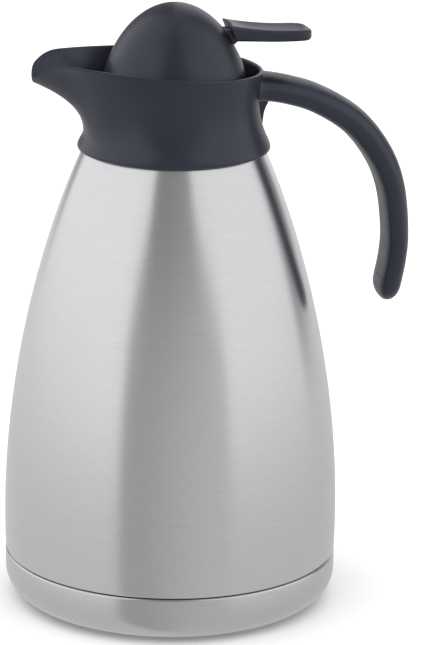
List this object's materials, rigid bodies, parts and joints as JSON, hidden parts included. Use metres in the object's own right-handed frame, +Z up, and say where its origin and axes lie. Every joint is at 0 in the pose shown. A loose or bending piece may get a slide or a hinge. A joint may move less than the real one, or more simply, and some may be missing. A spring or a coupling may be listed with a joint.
{
  "type": "vacuum jug",
  "caption": "Double-walled steel vacuum jug with a spouted plastic collar, a hooked handle, a screw-in domed stopper and a thumb lever that opens its pour valve.",
  "frame": {"origin": "middle of the flat underside, on the flask's axis, at the height of the surface it stands on", "axes": "+Z up along the flask's axis, +X towards the handle, -X towards the spout"},
  "size_m": [0.1876, 0.1542, 0.2799],
  "materials": {
    "brushed_body": "brushed round the axis, satin",
    "brushed_base": "brushed round the axis, satin",
    "liner_steel": "bright drawn steel",
    "charcoal_plastic": "satin moulded, very fine grain",
    "grey_silicone": "matte",
    "black_rubber": "matte",
    "spring_steel": "bright",
    "copper_foil": "thin bright foil",
    "getter": "sintered, dull",
    "seal_bead": "glassy solder bead"
  },
  "bodies": {
    "vessel": {"outer_shell": "brushed_body", "inner_liner": "liner_steel", "radiation_foil": "copper_foil", "vessel_bottom_disc": "liner_steel", "evacuation_seal": "seal_bead", "getter_tablet": "getter", "base_cup": "brushed_base", "base_pad": "black_rubber", "collar": "charcoal_plastic", "collar_gasket": "grey_silicone", "collar_snap_ring": "spring_steel", "handle_shell": "charcoal_plastic", "handle_cover": "charcoal_plastic", "handle_screw": "spring_steel"},
    "lid_gasket": {"stopper_gasket": "grey_silicone"},
    "lid": {"lid_dome": "charcoal_plastic", "lid_insert": "charcoal_plastic", "stopper_body": "charcoal_plastic", "stem_oring": "black_rubber", "lever_pin": "spring_steel", "return_spring": "spring_steel"},
    "lever": {"thumb_lever": "charcoal_plastic"},
    "valve": {"valve_stem": "spring_steel", "valve_plate": "charcoal_plastic", "valve_seal": "grey_silicone", "stem_clip": "spring_steel"}
  },
  "joints": [
    {"name": "lid_lift", "type": "slide", "parent": "vessel", "child": "lid_gasket", "axis": [0, 0, 1], "range_m": [0, 0.072]},
    {"name": "lid_turn", "type": "hinge", "parent": "lid_gasket", "child": "lid", "pos_m": [0, 0, 0.24], "axis": [0, 0, 1], "range_deg": [0, 720]},
    {"name": "lever_press", "type": "hinge", "parent": "lid", "child": "lever", "pos_m": [0.017, 0, 0.26], "axis": [0, 1, 0], "range_deg": [0, 12], "stiffness_Nm_per_rad": 0.4, "springref_deg": -11.46},
    {"name": "valve_lift", "type": "slide", "parent": "lid", "child": "valve", "axis": [0, 0, 1], "range_m": [0, 0.0036], "deforming": ["return_spring"]}
  ],
  "couplings": [
    {"joint": "lid_turn", "follows": "lid_lift", "rad_per_m": 174.53},
    {"joint": "valve_lift", "follows": "lever_press", "m_per_rad": 0.017}
  ]
}
